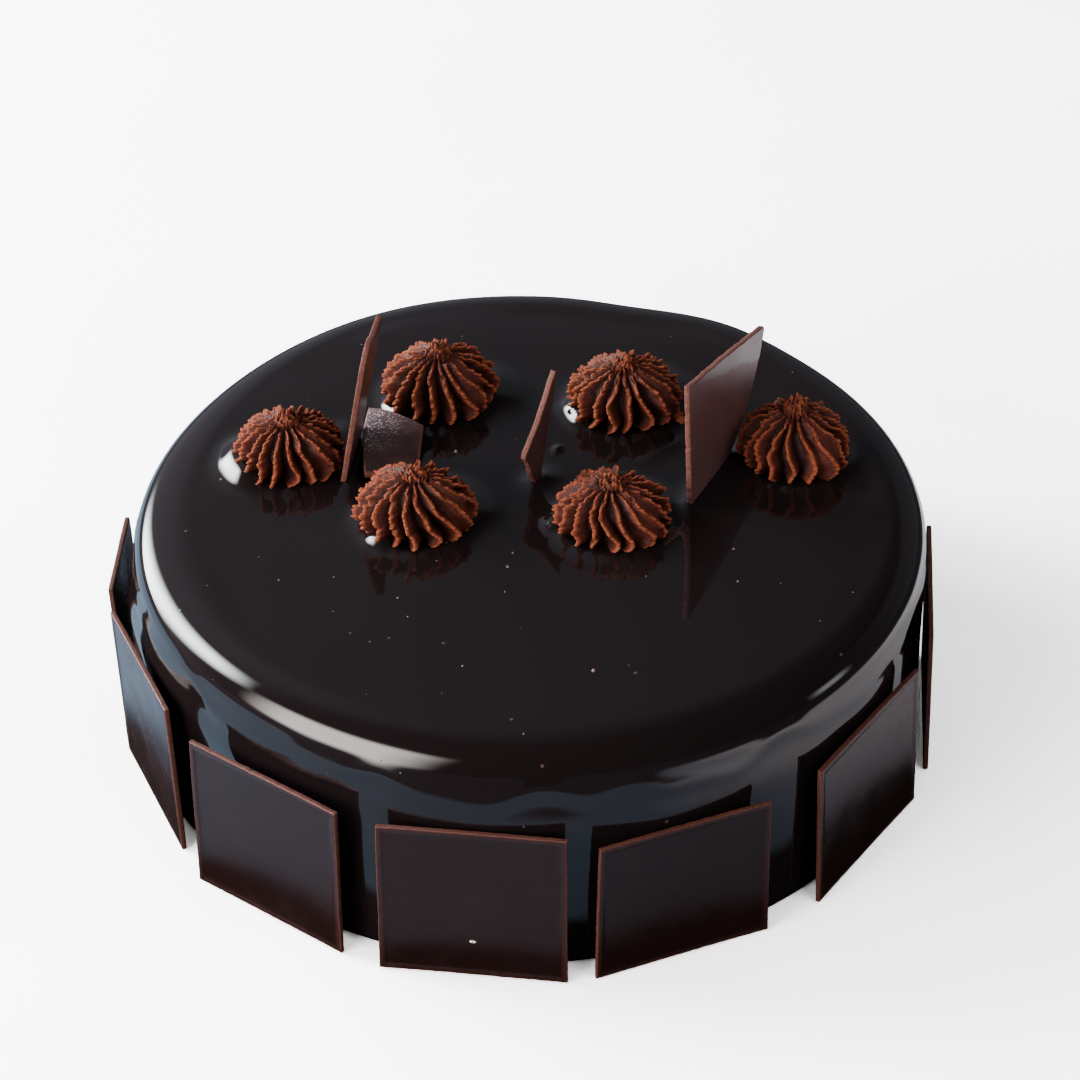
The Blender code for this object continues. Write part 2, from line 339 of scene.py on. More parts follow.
def swelling(azimuth, swells):
    """How far a few soft swells stand out."""
    total = np.zeros_like(azimuth)
    for centre, spread, rise in swells:
        total += rise * MM * np.exp(-((degrees_apart(azimuth, centre) / spread) ** 2))
    return total


def side_wave(azimuth, height):
    """The slow unevenness that the CAD's side also has."""
    share = height / CAKE_HEIGHT
    runs = np.sin(3 * azimuth + 0.7) + 0.7 * np.sin(7 * azimuth + 2.1 + 3 * share)
    return SIDE_WAVE * runs * np.sin(np.pi * share)


def cake_radius(azimuth, height):
    """Radius of the drum before the shoulder turns in."""
    share = smooth_step(BLEND_FROM, BLEND_TO, height)
    side = SIDE_RADIUS + swelling(azimuth, SIDE_SWELLS)
    rim = RIM_RADIUS + swelling(azimuth, RIM_SWELLS)
    return side + (rim - side) * share + side_wave(azimuth, height)


# %% Soft waves on the side, where the glaze ran down
# Fine runs: rise in millimetres, how many fit round the drum, phase and drift with height
SIDE_RUNS = [(0.13, 17, 1.3, 14), (0.08, 29, 0.4, -22)]
BULGE_RISE = 0.20
# Glaze gathered behind the second tile: azimuth, spread, level, height and rise
GATHERED_GLAZE = (-60, 15, 47.0, 12.0, 1.8)
# The fold of the shoulder: level, half height and how far it stands out
FOLD_LEVEL = 56.5
FOLD_WIDTH = 2.6
FOLD_RISE = 0.45
# How the fold wavers up and down: rise in millimetres, number round the drum and phase
FOLD_WAVER = [(1.6, 11, 0.5), (1.0, 19, 2.0), (0.7, 31, 1.1)]


def side_runs(azimuth, height):
    """Runs and slow bulges on the side, and a wavering fold where the glaze rolled over
    the shoulder, in metres. All are gone before the top."""
    runs = sum(
        rise * np.sin(number * azimuth + phase + drift * height)
        for rise, number, phase, drift in SIDE_RUNS
    )
    bulges = BULGE_RISE * np.sin(9 * azimuth + 90 * height)
    bulges = bulges * np.sin(60 * height + 5 * azimuth)
    fade = 1 - smooth_step(48 * MM, 62 * MM, height)
    waver = sum(rise * np.sin(number * azimuth + phase) for rise, number, phase in FOLD_WAVER)
    fold = FOLD_RISE * np.exp(-(((height / MM - FOLD_LEVEL - waver) / FOLD_WIDTH) ** 2))
    fold = fold * (0.75 + 0.25 * np.sin(7 * azimuth + 1.0))
    centre, spread, level, tall, rise = GATHERED_GLAZE
    gathered = rise * np.exp(-((degrees_apart(azimuth, centre) / spread) ** 2))
    gathered = gathered * np.exp(-(((height / MM - level) / tall) ** 2))
    return ((runs + bulges) * fade + fold + gathered) * MM


# %% [markdown]
# Where something stands in the glaze, the glaze climbs it in a small collar. The collars
# matter: each one is a tiny curved mirror that catches the window as a bright fleck.

# %% What stands in the glaze: rosettes and the feet of the shards
# Each rosette: centre x and y, largest radius, height, number of ridges, twist from foot
# to peak and the azimuth where the piped end lies flat
ROSETTES = [
    (-68.1, 22.4, 16.0, 15.8, 19, 16, 60),
    (-26.1, 51.9, 16.8, 18.6, 18, 24, 52),
    (-32.0, -6.7, 16.6, 16.4, 17, 34, 66),
    (26.7, 46.1, 16.9, 16.3, 18, 12, 62),
    (21.6, -9.7, 16.3, 15.3, 18, 30, 48),
    (73.7, 19.2, 15.9, 20.0, 17, 26, 40),
]
# How the collars start, as a share of a rosette's radius, and how steeply they fall away
COLLAR_START = 0.9
COLLAR_FALL = 1.4
FOOT_FALL = 1.3
# Each collar: how high it climbs and how far it spreads, in millimetres
ROSETTE_COLLARS = [(1.2, 2.6), (1.2, 2.4), (1.1, 2.4), (1.1, 2.4), (1.1, 2.6), (1.1, 2.4)]
# Where a rosette pushed the glaze up in a lip: rosette, direction of the lip from its
# centre in degrees from +X, half its angle, radius of its crest, rise and width
LIPS = [
    (0, 194, 46, 15.0, 3.7, 4.2), (1, 210, 22, 15.0, 1.9, 2.2), (3, 198, 24, 14.2, 2.9, 3.1),
    (2, 227, 14, 14.0, 2.0, 2.4), (4, 180, 12, 16.0, 1.5, 2.4), (4, 62, 40, 16.0, 1.2, 4.5),
    (2, 30, 40, 16.5, 1.1, 5.0), (1, 10, 34, 17.0, 1.0, 5.0), (3, 48, 40, 17.0, 1.0, 4.5),
]
# Foot lines in millimetres: near end, far end, half thickness, climb and spread
SHARD_FEET = [
    ((-51.0, 10.5), (-47.6, 31.0), 0.9, 1.3, 2.2),
    ((1.3, 9.6), (2.6, 11.6), 1.2, 1.2, 2.4),
    ((43.3, -2.4), (55.2, 21.0), 0.9, 1.2, 2.4),
]
# Soft swells where glaze was pushed up, and a dent: x, y, half length, half width,
# heading and rise
PUSHED_SWELLS = [
    (7.2, 25.2, 1.3, 1.1, 60, 1.0), (-55.5, 33.0, 6.0, 3.0, 70, 0.8),
    (35.5, 24.0, 7.0, 3.2, 40, 0.5), (98.2, 8.1, 9.0, 5.0, 60, -0.4),
]


def distance_to_line(x, y, start, end):
    """Distance from many places to a line between two points, all in millimetres."""
    along = np.array(end) - np.array(start)
    share = ((x - start[0]) * along[0] + (y - start[1]) * along[1]) / (along @ along)
    share = np.clip(share, 0, 1)
    return np.hypot(x - start[0] - share * along[0], y - start[1] - share * along[1])


def glaze_relief(x, y):
    """Height of the glaze above its flat level, in metres; x and y in metres."""
    x, y = x / MM, y / MM
    rise = 0.10 * np.sin(x / 17 + 0.8) * np.sin(y / 21 + 0.3)
    rise += 0.05 * np.sin((x + y) / 9.0) * np.sin((x - 0.6 * y) / 11.0 + 1.0)
    for (rx, ry, radius, *_), (climb, spread) in zip(ROSETTES, ROSETTE_COLLARS):
        away = np.maximum(np.hypot(x - rx, y - ry) - COLLAR_START * radius, 0)
        rise += climb * np.exp(-((away / spread) ** COLLAR_FALL))
    for rosette, heading, half_angle, crest, height, width in LIPS:
        rx, ry = ROSETTES[rosette][:2]
        turned = degrees_apart(np.arctan2(y - ry, x - rx), heading)
        across = np.hypot(x - rx, y - ry) - crest
        across = np.where(across > 0, across, across * 0.5)
        rise += height * np.exp(-((across / width) ** 2) - (turned / half_angle) ** 4)
    for start, end, half, climb, spread in SHARD_FEET:
        away = np.maximum(distance_to_line(x, y, start, end) - half, 0)
        rise += climb * np.exp(-((away / spread) ** FOOT_FALL))
    for sx, sy, length, width, heading, height in PUSHED_SWELLS:
        turn = math.radians(heading)
        along = (x - sx) * math.cos(turn) + (y - sy) * math.sin(turn)
        across = -(x - sx) * math.sin(turn) + (y - sy) * math.cos(turn)
        rise += height * np.exp(-((along / length) ** 2) - (across / width) ** 2)
    return rise * MM


# %% Build the glazed body
COLUMNS = 540
SIDE_ROWS = 44
SHOULDER_ROWS = 34
TOP_ROWS = 88


def make_glazed_body():
    """Rings of points from the foot up the side, over the shoulder and in to the middle."""
    azimuth = np.linspace(0, 2 * np.pi, COLUMNS, endpoint=False)
    width, drop = np.full(COLUMNS, SHOULDER_WIDTH), np.full(COLUMNS, SHOULDER_DROP)
    square = np.zeros(COLUMNS)
    for centre, spread, wider, deeper, squarer in BROAD_SHOULDERS:
        share = np.exp(-((degrees_apart(azimuth, centre) / spread) ** 2))
        width += wider * MM * share
        drop += deeper * MM * share
        square += squarer * share
    rows = []

    def add_row(reach, height):
        reach, height = np.broadcast_arrays(reach, height, azimuth)[:2]
        rows.append(np.stack([np.sin(azimuth) * reach, -np.cos(azimuth) * reach, height], 1))

    add_row(cake_radius(azimuth, np.zeros(COLUMNS)) - FOOT_ROUNDING, 0.0)
    for turn in np.radians([30, 60]):
        height = FOOT_ROUNDING * (1 - math.cos(turn)) * np.ones(COLUMNS)
        add_row(cake_radius(azimuth, height) - FOOT_ROUNDING * (1 - math.sin(turn)), height)
    for share in np.linspace(0, 1, SIDE_ROWS):
        height = FOOT_ROUNDING + share * (CAKE_HEIGHT - drop - FOOT_ROUNDING)
        add_row(cake_radius(azimuth, height) + side_runs(azimuth, height), height)
    for share in np.linspace(0, 1, SHOULDER_ROWS + 1)[1:]:
        turn = math.radians(90) * share
        inset = width * (1 - max(math.cos(turn), 0.0) ** (INSET_CURVE - square))
        height = CAKE_HEIGHT - drop * (1 - math.sin(turn) ** (DROP_CURVE - square))
        reach = cake_radius(azimuth, height) + side_runs(azimuth, height) - inset
        add_row(reach, height)
    inner = cake_radius(azimuth, np.full(COLUMNS, CAKE_HEIGHT)) - width
    for share in np.linspace(1, 0, TOP_ROWS + 1)[1:-1]:
        reach = inner * share
        x, y = np.sin(azimuth) * reach, -np.cos(azimuth) * reach
        add_row(reach, CAKE_HEIGHT + glaze_relief(x, y) * smooth_step(1.0, 0.93, share))
    points = np.concatenate(rows)
    centre = points[-COLUMNS:].mean(axis=0)
    points = np.vstack([points, [(0, 0, 0)], centre])
    faces = loft_faces(len(rows), COLUMNS)
    body = make_piece("glazed_body", points, faces, glaze_material)
    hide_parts("glazed_cake")


make_glazed_body()

# %% [markdown]
# ## Tempered chocolate
#
# The tiles, the shards and the bent piece are one sheet of dark chocolate, with a satin
# face and rough, lighter cut edges. The mesh says where an edge is, and the material
# mixes the redder, coarser finish in there.


# %% Material: tempered chocolate
CHOCOLATE_IOR = 1.46
WARM_GLINT = (1.0, 0.68, 0.62, 1)
EDGE_COARSENESS = 0.3
# A smear: how far its border strays and how soft it is in millimetres, how much of the
# colour it hides, how much glossier it is, and its grey
SMEAR_STRAY = 5.0
SMEAR_BORDER = (2.3, 2.7)
SMEAR_COVER = 0.75
SMEAR_GLOSS = 0.07
SMEAR_GREY = (0.060, 0.050, 0.051, 1)


def wiped_share(tree, across, start):
    """1 beyond a ragged line: across is the direction over it, start the distance to it."""
    inputs = {0: millimetres(tree), 1: across}
    along = add_node(tree, "ShaderNodeVectorMath", inputs, operation="DOT_PRODUCT")
    along = along.outputs["Value"]
    streak = place_group(tree, GRAIN, Size_mm=3.2, Detail=4.0)
    along = calculate(tree, "ADD", along, calculate(tree, "MULTIPLY", streak, SMEAR_STRAY))
    return map_range(tree, along, start + SMEAR_BORDER[0], start + SMEAR_BORDER[1])


def make_tempered_material(name, face, edge, roughness, smear=None):
    """Satin face, lighter crumbly edge and a slow cloudiness. A smear is a direction and
    the distance along it, in millimetres, from which the face was wiped grey and glossy."""
    material, tree, shader = new_material(name)
    near_edge = point_value(tree, "edge")
    cloud = place_group(tree, GRAIN, Size_mm=14.0, Detail=3.0)
    fine = place_group(tree, GRAIN, Size_mm=0.7, Detail=4.0)
    paler = tuple(v * 1.18 for v in face[:3]) + (1,)
    body = mix_colours(tree, map_range(tree, cloud, 0.38, 0.66), face, paler)
    satin = map_range(tree, cloud, 0.35, 0.7, roughness - 0.03, roughness + 0.05)
    coarse = calculate(tree, "MULTIPLY", near_edge, EDGE_COARSENESS)
    rough = calculate(tree, "ADD", satin, coarse)
    if smear:
        wipe = wiped_share(tree, *smear)
        cover = calculate(tree, "MULTIPLY", wipe, SMEAR_COVER)
        body = mix_colours(tree, cover, body, SMEAR_GREY)
        gloss = calculate(tree, "MULTIPLY", wipe, SMEAR_GLOSS)
        rough = calculate(tree, "SUBTRACT", rough, gloss)
    darker_edge = tuple(v * 0.55 for v in edge[:3]) + (1,)
    crumbly = mix_colours(tree, map_range(tree, fine, 0.35, 0.62), darker_edge, edge)
    colour = mix_colours(tree, near_edge, body, crumbly)
    relief = calculate(tree, "MULTIPLY", fine, calculate(tree, "MULTIPLY", near_edge, 0.8))
    feed(tree, shader, {
        "Base Color": colour, "Roughness": rough, "IOR": CHOCOLATE_IOR,
        "Specular Tint": WARM_GLINT, "Normal": bump(tree, relief, 0.3, 0.6),
    })
    return material


# Face colour, edge colour and roughness of the tiles, the shards and the wiped shard
TILE_FINISH = ((0.0060, 0.0024, 0.0021, 1), (0.060, 0.019, 0.013, 1), 0.24)
SHARD_FINISH = ((0.034, 0.0150, 0.0145, 1), (0.088, 0.027, 0.019, 1), 0.38)
WIPED_FINISH = ((0.056, 0.0255, 0.0260, 1), (0.100, 0.034, 0.026, 1), 0.38)
tile_material = make_tempered_material("tempered_tile", *TILE_FINISH)
shard_material = make_tempered_material("tempered_shard", *SHARD_FINISH)

# %% [markdown]
# ## The tiles round the side
#
# Each tile is a thin hand-cut rectangle with a slightly raised rim, where the chocolate
# thickened at the cut. A scaled cube would have dead-straight edges. Here a sheet of
# points is stretched between four wavering borders, which keeps the points in tidy rows
# and lets the rim and the face be shaped by how far each point is from the border.

# %% The measures of the tiles, the same as the CAD's
TILE_THICKNESS = 1.5
TILE_RIM_WIDTH = 1.35
TILE_RIM_HEIGHT = 0.22
# Each tile: azimuth in degrees, distance of its foot from the axis, lean and twist in
# degrees, width, height and how far its top left corner is set in
SIDE_TILES = [
    (-95.0, 116.8, -1.6, -1.6, 34.0, 48.0, 0.3),
    (-69.3, 114.2, -1.3, -2.1, 46.8, 50.2, 0.2),
    (-39.2, 114.8, 0.9, -2.0, 49.8, 48.6, 0.3),
    (-8.9, 114.6, 3.0, -0.5, 50.1, 47.5, 0.4),
    (19.5, 113.1, 0.2, -1.6, 49.5, 44.6, 1.5),
    (53.3, 112.2, 1.4, -1.3, 50.8, 45.7, 0.2),
    (85.4, 112.1, 1.0, 0.3, 50.3, 47.8, 0.2),
    (115.3, 113.0, 2.2, 1.4, 49.8, 48.0, 0.0),
    (145.3, 113.8, 2.6, -1.2, 50.2, 47.4, 0.5),
    (175.2, 115.4, 1.8, -2.0, 49.6, 48.8, 0.2),
    (205.2, 116.8, 1.4, -1.6, 50.0, 48.2, 0.0),
    (235.1, 116.6, 1.2, 0.6, 50.3, 47.6, 0.6),
]
TILE_SEED = 100
# How far a side wavers, how far it is set in and how ragged it is, in millimetres
SIDE_WAVER = 0.15
RAGGED_INSET = 0.06
RAGGEDNESS = 0.13


def tile_corners_and_waver(number, width, height, set_in):
    """The four corners, and how far each side wavers at a third and two thirds."""
    rng = random.Random(TILE_SEED + number)
    half = width / 2
    corners = [(-half, 0), (half, 0), (half, height), (set_in - half, height)]
    waver = []
    for _ in corners:
        waver.append([
            (rng.uniform(-1, 1) * SIDE_WAVER, rng.uniform(0, 1) * SIDE_WAVER)
            for _ in range(2)
        ])
    return [np.array(c, dtype=float) for c in corners], waver


def border_point(start, end, waver, share, seed):
    """A point along one side of a tile, with the broad waver and a fine raggedness."""
    point = start + (end - start) * share
    broad = np.array([
        np.interp(share, [0, 0.33, 0.67, 1], [0, waver[0][k], waver[1][k], 0])
        for k in range(2)
    ])
    length = float(np.hypot(*(end - start)))
    ragged = noise.noise(Vector((share * length / 1.1, seed, 3.7)))
    ragged += 0.6 * noise.noise(Vector((share * length / 0.45, seed, 9.1)))
    along = (end - start) / length
    inward = np.array([-along[1], along[0]])
    fade = min(1.0, 12 * share * (1 - share))
    return point + broad + inward * (RAGGED_INSET + RAGGEDNESS * ragged) * fade


def edge_spacing(length, step=1.1):
    """Stations from one edge to the other, close together where the rim is shaped."""
    near = [0.0, 0.10, 0.24, 0.45, 0.8, 1.15, 1.35, 1.5, 1.65, 1.85, 2.2, 2.8]
    middle = np.linspace(3.6, length - 3.6, max(2, round((length - 7.2) / step)))
    return np.array(near + list(middle) + [length - v for v in reversed(near)])


# %% Shape of a tile's face by distance from its border
# The worn corners of the face and the back, and the face's slow warp, in millimetres
CORNER_WIDTH = 0.34
FACE_CORNER = 0.26
BACK_CORNER = 0.22
FACE_WARP = 0.05
WARP_LENGTH = 13


def face_depth(from_border, along, up, seed):
    """How far the face lies behind the front plane, in millimetres."""
    rounding = FACE_CORNER * max(0.0, 1 - from_border / CORNER_WIDTH) ** 2
    step = TILE_RIM_HEIGHT * float(smooth_step(TILE_RIM_WIDTH - 0.2, 2.2, from_border))
    slow = noise.noise(Vector((along / WARP_LENGTH, up / WARP_LENGTH, seed)))
    return rounding + step + FACE_WARP * slow


def edge_share(from_border):
    """1 at the cut edge, a little of it on the raised rim and none on the face."""
    share = 1 - 0.8 * smooth_step(0.10, 0.5, from_border)
    return share - 0.2 * smooth_step(0.9, 1.9, from_border)


# %% Build the twelve tiles
WALL_ROWS = 4


def sheet_grid(front, back, wall_jitter):
    """Points and faces of a sheet from two grids and the wall that joins their borders."""
    rows, columns = front.shape[:2]
    count = rows * columns
    points = [*front.reshape(-1, 3), *back.reshape(-1, 3)]
    faces = []
    for r in range(rows - 1):
        for c in range(columns - 1):
            a = r * columns + c
            quad = (a, a + 1, a + columns + 1, a + columns)
            faces.append(quad)
            faces.append(tuple(count + v for v in reversed(quad)))
    border = [(0, c) for c in range(columns)] + [(r, columns - 1) for r in range(1, rows)]
    border += [(rows - 1, c) for c in range(columns - 2, -1, -1)]
    border += [(r, 0) for r in range(rows - 2, 0, -1)]
    loops = [[r * columns + c for r, c in border]]
    for k in range(1, WALL_ROWS):
        share = k / WALL_ROWS
        loop = []
        for n, (r, c) in enumerate(border):
            loop.append(len(points))
            points.append(front[r, c] * (1 - share) + back[r, c] * share + wall_jitter(n, k))
        loops.append(loop)
    loops.append([count + r * columns + c for r, c in border])
    for near, far in zip(loops, loops[1:]):
        for n in range(len(border)):
            m = (n + 1) % len(border)
            faces.append((near[m], near[n], far[n], far[m]))
    edge = np.zeros(len(points))
    edge[2 * count:] = 1
    return np.array(points), faces, edge


def make_tile(number, azimuth, distance, lean, twist, width, height, set_in):
    """A sheet between four wavering borders, leaned and set down on the floor."""
    corners, waver = tile_corners_and_waver(number, width, height, set_in)
    across, upward = edge_spacing(width), edge_spacing(height)
    low = [border_point(corners[0], corners[1], waver[0], a / width, number) for a in across]
    right = [border_point(corners[1], corners[2], waver[1], b / height, number + 20)
             for b in upward]
    top = [border_point(corners[3], corners[2], waver[2][::-1], a / width, number + 40)
           for a in across]
    left = [border_point(corners[0], corners[3], waver[3][::-1], b / height, number + 60)
            for b in upward]
    front = np.zeros((len(upward), len(across), 3))
    back = np.zeros_like(front)
    edge_value = np.zeros((len(upward), len(across)))
    for j, b in enumerate(upward):
        w = b / height
        for i, a in enumerate(across):
            u = a / width
            flat = (
                (1 - w) * low[i] + w * top[i] + (1 - u) * left[j] + u * right[j]
                - (1 - u) * (1 - w) * low[0] - u * (1 - w) * low[-1]
                - (1 - u) * w * top[0] - u * w * top[-1]
            )
            from_border = min(a, width - a, b, height - b)
            depth = face_depth(from_border, a, b, number)
            front[j, i] = (flat[0], depth, flat[1])
            rounding = BACK_CORNER * max(0.0, 1 - from_border / CORNER_WIDTH) ** 2
            back[j, i] = (flat[0], TILE_THICKNESS - rounding, flat[1])
            edge_value[j, i] = edge_share(from_border)

    def wall_jitter(n, k):
        return np.array([
            0.07 * noise.noise(Vector((n * 0.9, k * 2.1 + 7 * axis, number)))
            for axis in range(3)
        ])

    points, faces, edge = sheet_grid(front, back, wall_jitter)
    edge[:2 * edge_value.size] = np.tile(edge_value.ravel(), 2)
    turn = math.radians(azimuth)
    placing = (
        Matrix.Translation(outward(turn) * distance)
        @ Matrix.Rotation(turn - math.radians(twist), 4, "Z")
        @ Matrix.Rotation(-math.radians(lean), 4, "X")
    )
    placed = points @ np.array(placing.to_3x3()).T + np.array(placing.translation)
    placed[:, 2] -= placed[:, 2].min()
    piece = make_piece(
        f"chocolate_tile_{number:02d}", placed * MM, faces, tile_material,
        {"edge": edge}, sharp=50,
    )
    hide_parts(f"side_tile_{number:02d}")
    return piece


tiles = [make_tile(number, *row) for number, row in enumerate(SIDE_TILES, 1)]

# %% [markdown]
# ## The broken shards
#
# The shards are snapped from the same sheet, so their outlines are broken lines, not
# cuts. Each outline is walked in small steps, roughened, and lofted through the sheet's
# thickness with a worn corner on both faces. A bevel modifier on a flat cut-out would
# round them evenly, which breaks never are.

# %% The outlines, the same as the CAD's
SHARD_THICKNESS = 1.6
# Each shard: where its near end meets the glaze, heading and lean in degrees, and its
# outline as distance along the foot and height above the glaze
SHARDS = {
    "top_shard_left": (
        (-51.9, 10.4), 80.7, 10.1,
        [(0.4, -6), (0, 0), (0.8, 20), (1.8, 38), (3.4, 42.4), (6.4, 44.6), (12, 43.2),
         (14, 41.6), (26.2, 40.5), (25.2, 33), (23.5, 20), (21, 0), (20.5, -6)],
    ),
    "top_shard_middle": (
        (1.9, 9.9), 60.6, 4.6,
        [(-0.3, -4), (-1.3, 0), (-5.0, 6.2), (-5.8, 8.6), (-9.2, 14.2), (-8.8, 15.4),
         (-2.2, 22.6), (5.5, 35.2), (6.5, 34.6), (4.2, 20), (1.1, 0), (0.5, -4)],
    ),
    "top_shard_right": (
        (44.0, -3.0), 63.1, -1.5,
        [(0.6, -6), (0, 0), (-0.3, 20), (-0.5, 40.2), (24, 35.4), (49.8, 29.6),
         (50.6, 28.6), (47.4, 22.0), (42.0, 14.2), (35, 7.2), (24.6, 0), (17, -6)],
    ),
}
BREAK_STEP = 0.5
BREAK_ROUGHNESS = 0.22


def walk_outline(outline, step, seed):
    """The outline in small steps, each pushed in or out a little, clockwise in x-z."""
    corners = [np.array(c, dtype=float) for c in outline]
    points = []
    travelled = 0.0
    for k, start in enumerate(corners):
        end = corners[(k + 1) % len(corners)]
        length = float(np.hypot(*(end - start)))
        count = max(1, round(length / step))
        along = (end - start) / length
        side = np.array([along[1], -along[0]])
        for n in range(count):
            where = travelled + length * n / count
            rough = noise.noise(Vector((where / 2.4, seed, 0.5)))
            rough += 0.7 * noise.noise(Vector((where / 0.8, seed, 4.5)))
            point = start + (end - start) * n / count
            points.append(point + side * BREAK_ROUGHNESS * rough)
        travelled += length
    return np.array(points)


def inset_outline(points, amount):
    """The outline moved inwards along its smoothed normals."""
    along = np.roll(points, -2, axis=0) - np.roll(points, 2, axis=0)
    along /= np.linalg.norm(along, axis=1)[:, None]
    return points + np.stack([along[:, 1], -along[:, 0]], 1) * amount


# Where the right shard was wiped: a point on the lower edge of the smear, and the
# direction across it, in the shard's own axes
SMEAR_LINE_POINT = (30.0, 0.0, 27.6)
SMEAR_ACROSS = (0.42, 0.0, 1.0)


# %% Build the three shards
# Depth of each ring of the broken edge, and how far it is worn in
SHARD_LAYERS = [(0.0, 0.22), (0.10, 0.08), (0.30, 0.0), (0.8, 0.04), (1.3, 0.0),
                (1.5, 0.08), (1.6, 0.22)]
BREAK_JAG = 0.10
FACE_INSET = 0.42
FIRST_SHARD_SEED = 3


def make_shard(name, base, heading, lean, outline, seed):
    """Rings round the broken edge, two flat faces, and the whole stood in the glaze."""
    border = walk_outline(outline, BREAK_STEP, seed)
    count = len(border)
    points, edge = [], []
    for layer, (depth, inset) in enumerate(SHARD_LAYERS):
        ring = inset_outline(border, inset)
        for n, (s, h) in enumerate(ring):
            jag = 0.0
            if 0 < layer < len(SHARD_LAYERS) - 1:
                jag = BREAK_JAG * noise.noise(Vector((n * 0.6, layer * 1.7, seed)))
            points.append((s + jag, depth, h + jag))
            edge.append(1.0)
    faces = []
    for layer in range(len(SHARD_LAYERS) - 1):
        near, far = layer * count, (layer + 1) * count
        for n in range(count):
            m = (n + 1) % count
            faces.append((near + n, near + m, far + m, far + n))
    for depth, first in ((0.0, 0), (SHARD_THICKNESS, (len(SHARD_LAYERS) - 1) * count)):
        ring = inset_outline(border, FACE_INSET)
        start = len(points)
        for s, h in ring:
            points.append((s, depth, h))
            edge.append(0.0)
        for n in range(count):
            m = (n + 1) % count
            quad = (first + n, start + n, start + m, first + m)
            faces.append(quad if depth == 0.0 else quad[::-1])
        cap = tuple(range(start, start + count))
        faces.append(cap[::-1] if depth else cap)
    placing = (
        Matrix.Translation((base[0], base[1], CAKE_HEIGHT / MM))
        @ Matrix.Rotation(math.radians(heading), 4, "Z")
        @ Matrix.Rotation(math.radians(lean), 4, "X")
    )
    finish = shard_material
    if name == "top_shard_right":
        across = placing.to_3x3() @ Vector(SMEAR_ACROSS).normalized()
        from_line = placing @ Vector(SMEAR_LINE_POINT)
        smear = (across, across.dot(from_line))
        finish = make_tempered_material("tempered_wiped_shard", *WIPED_FINISH, smear)
    turned = np.array(points) @ np.array(placing.to_3x3()).T
    piece = make_piece(
        name.replace("top_", "broken_"), (turned + np.array(placing.translation)) * MM,
        faces, finish, {"edge": edge}, sharp=40,
    )
    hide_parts(name)


for seed, (name, row) in enumerate(SHARDS.items(), FIRST_SHARD_SEED):
    make_shard(name, *row, seed)

# %% [markdown]
# ## The bent piece
#
# One tile bent while it was still soft and lies arched on the glaze. Part of it kept a
# frosty bloom, a crust of fine grains whose pale tops are painted glints. The arch is a
# formula, as in the CAD, and the bloom is both a rough surface and a paler colour with
# painted glints, mixed in by a value on the mesh.


# %% Material: chocolate with a frosty bloom
BENT_BROWN = (0.021, 0.0105, 0.0100, 1)
BENT_PALER = (0.032, 0.0155, 0.0145, 1)
BENT_EDGE = (0.085, 0.030, 0.022, 1)
FROST_GROUND = (0.046, 0.027, 0.029, 1)
# The drops' pale colour is a painted glint on each grain of the bloom
PAINTED_GLINT_DROP = (0.40, 0.31, 0.33, 1)


def make_bloom_material():
    """Plain satin chocolate that turns into a crust of fine drops whose pale tops are painted
    glints.
    """
    material, tree, shader = new_material("bloomed_chocolate")
    near_edge = point_value(tree, "edge")
    bloom = point_value(tree, "bloom")
    grains = place_group(tree, GRAIN, Size_mm=0.60, Detail=2.0)
    cloud = place_group(tree, GRAIN, Size_mm=5.0, Detail=3.0)
    base = mix_colours(tree, map_range(tree, cloud, 0.35, 0.65), BENT_BROWN, BENT_PALER)
    drops = place_group(tree, SPECKS, Spacing_mm=0.72, Radius=0.40, Kept_share=0.85)
    drop_glints = calculate(tree, "MULTIPLY", drops, map_range(tree, grains, 0.36, 0.62))
    frosty = mix_colours(tree, drop_glints, FROST_GROUND, PAINTED_GLINT_DROP)
    colour = mix_colours(tree, bloom, base, frosty)
    colour = mix_colours(tree, near_edge, colour, BENT_EDGE)
    rough = map_range(tree, bloom, 0.0, 1.0, 0.34, 0.6)
    relief = calculate(tree, "MULTIPLY", drop_glints, bloom)
    feed(tree, shader, {
        "Base Color": colour, "Roughness": rough, "IOR": CHOCOLATE_IOR,
        "Specular IOR Level": 0.3, "Normal": bump(tree, relief, 0.2, 0.8),
    })
    return material


bloom_material = make_bloom_material()

# %% Build the bent piece
# The hair's breadth that the CAD leaves between the glaze and what lies on it
GLAZE_GAP = 0.35
# The corners from the back left round to the front left, how far the left side bulges,
# and the line along which the arch is highest
BENT_CORNERS = [(-46.2, 43.6), (-30.4, 32.8), (-31.7, 14.6), (-46.4, 9.8)]
BENT_LEFT_BULGE = 1.1
BENT_LINE_POINT = (-48.0, 25.0)
BENT_LINE_HEADING = 54
BENT_RISE = 3.0
# How far the arch reaches to the front and to the back of that line
REACH_FRONT = 19.6
REACH_BACK = 12
BENT_CELLS = 64
BENT_WIDTH = 18
BENT_CORNER = 0.3
# Where the bloom begins and is full, from the arch's highest line to the back, how far
# that border strays, the size of its patches and grains, and the grains' height
FROST_BORDER = (-11.0, 6.0)
FROST_STRAY = 3.0
FROST_PATCH = 5
FROST_GRAIN = 0.6
FROST_RELIEF = 0.06


def bent_height(x, y):
    """Height of the arch over the glaze, and the distance from its highest line."""
    heading = math.radians(BENT_LINE_HEADING)
    offset = (x - BENT_LINE_POINT[0]) * -math.sin(heading)
    offset += (y - BENT_LINE_POINT[1]) * math.cos(heading)
    reach = REACH_FRONT if offset < 0 else REACH_BACK
    return GLAZE_GAP + max(0.0, BENT_RISE * (1 - (offset / reach) ** 2)), offset


